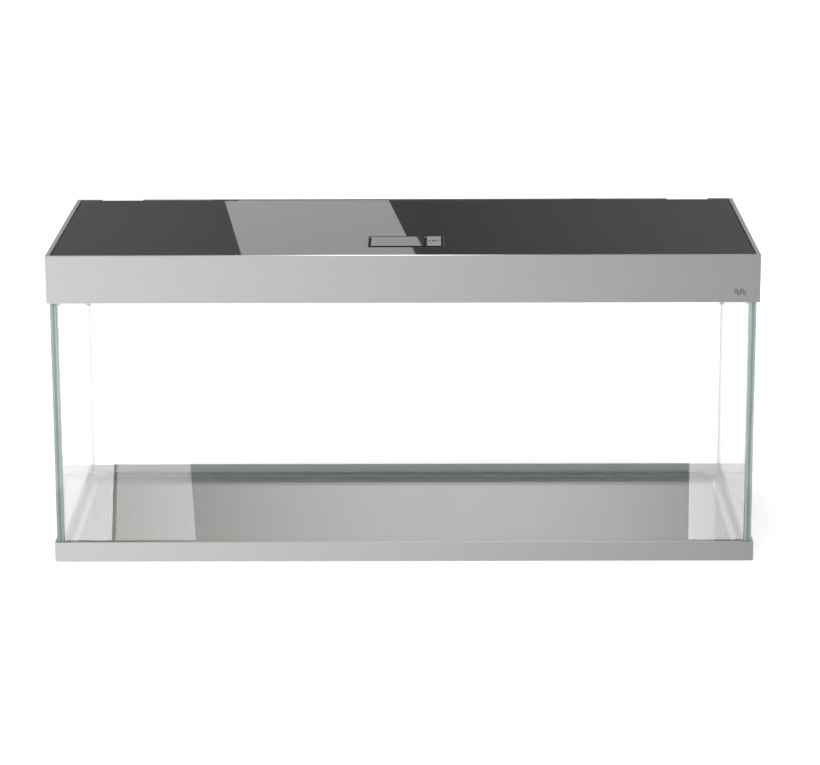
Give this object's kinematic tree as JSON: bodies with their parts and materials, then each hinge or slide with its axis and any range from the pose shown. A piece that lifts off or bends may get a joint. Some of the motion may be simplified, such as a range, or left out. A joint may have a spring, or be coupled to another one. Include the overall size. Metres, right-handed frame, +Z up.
{
  "type": "aquarium",
  "caption": "Rectangular framed glass aquarium with an aluminium hood, a hinged gloss black top panel, a feeding hatch, lamp bars inside and a low aluminium base frame.",
  "frame": {"origin": "middle of the underside, on the surface that the tank stands on", "axes": "+X along the tank to the viewer's right when facing the front, +Y from the front pane to the rear pane, +Z up"},
  "size_m": [1.21, 0.51, 0.54],
  "materials": {
    "clear_glass": "polished float glass, faint green edges",
    "silicone": "translucent clear silicone",
    "aluminium_satin": "satin anodised",
    "lamp_aluminium": "satin anodised extrusion",
    "zinc_steel": "zinc plated sheet",
    "screw_steel": "stainless",
    "pin_steel": "drawn wire",
    "grey_foam": "closed-cell foam, fine grain",
    "black_rubber": "matt",
    "gloss_black": "high gloss",
    "black_plastic": "fine moulded grain",
    "grey_plastic": "satin",
    "emblem_ink": "matt inlay",
    "board_white": "satin lacquer",
    "led_yellow": "phosphor under clear resin",
    "lamp_cover": "clear ribbed cover"
  },
  "bodies": {
    "tank": {"bottom_glass": "clear_glass", "front_glass": "clear_glass", "rear_glass": "clear_glass", "left_glass": "clear_glass", "right_glass": "clear_glass", "corner_seams": "silicone", "floor_seam": "silicone", "front_brace": "clear_glass", "rear_brace": "clear_glass", "cross_brace": "clear_glass", "brace_seams": "silicone", "cross_brace_bonds": "silicone", "base_front_profile": "aluminium_satin", "base_rear_profile": "aluminium_satin", "base_left_profile": "aluminium_satin", "base_right_profile": "aluminium_satin", "base_corner_plates": "zinc_steel", "base_corner_screws": "screw_steel", "base_mat": "grey_foam"},
    "hood": {"hood_front_profile": "aluminium_satin", "hood_rear_profile": "aluminium_satin", "hood_left_profile": "aluminium_satin", "hood_right_profile": "aluminium_satin", "hood_corner_brackets": "zinc_steel", "hood_corner_screws": "screw_steel", "hood_gasket": "black_rubber", "panel_rest_strip": "black_rubber", "hose_trims": "black_rubber", "front_emblem": "emblem_ink", "hinge_fixed_leaves": "zinc_steel", "hinge_pins": "pin_steel", "hinge_screws": "screw_steel", "lamp_holders": "black_plastic", "lamp_holder_screws": "screw_steel", "lamp_glands": "black_plastic", "front_lamp_housing": "lamp_aluminium", "front_lamp_board": "board_white", "front_lamp_leds": "led_yellow", "front_lamp_cover": "lamp_cover", "front_lamp_caps": "black_plastic", "rear_lamp_housing": "lamp_aluminium", "rear_lamp_board": "board_white", "rear_lamp_leds": "led_yellow", "rear_lamp_cover": "lamp_cover", "rear_lamp_caps": "black_plastic"},
    "flap": {"top_panel": "gloss_black", "hinge_moving_leaves": "zinc_steel", "hinge_pads": "black_rubber", "hatch_frame": "black_plastic", "hatch_hinge_pin": "pin_steel", "hatch_button_spring": "pin_steel"},
    "hatch": {"hatch_door": "gloss_black"},
    "button": {"hatch_button": "grey_plastic"}
  },
  "joints": [
    {"name": "hood_lift", "type": "slide", "parent": "tank", "child": "hood", "axis": [0, 0, 1], "range_m": [0, 0.12]},
    {"name": "panel_hinge", "type": "hinge", "parent": "hood", "child": "flap", "pos_m": [0, 0.2485, 0.537], "axis": [-1, 0, 0], "range_deg": [0, 85]},
    {"name": "hatch_hinge", "type": "hinge", "parent": "flap", "child": "hatch", "pos_m": [-0.0095, -0.0907, 0.537], "axis": [-1, 0, 0], "range_deg": [0, 95]},
    {"name": "button_press", "type": "slide", "parent": "flap", "child": "button", "axis": [0, 0, -1], "range_m": [0, 0.0025], "stiffness_N_per_m": 400, "springref_m": -0.003, "deforming": ["hatch_button_spring"]}
  ]
}
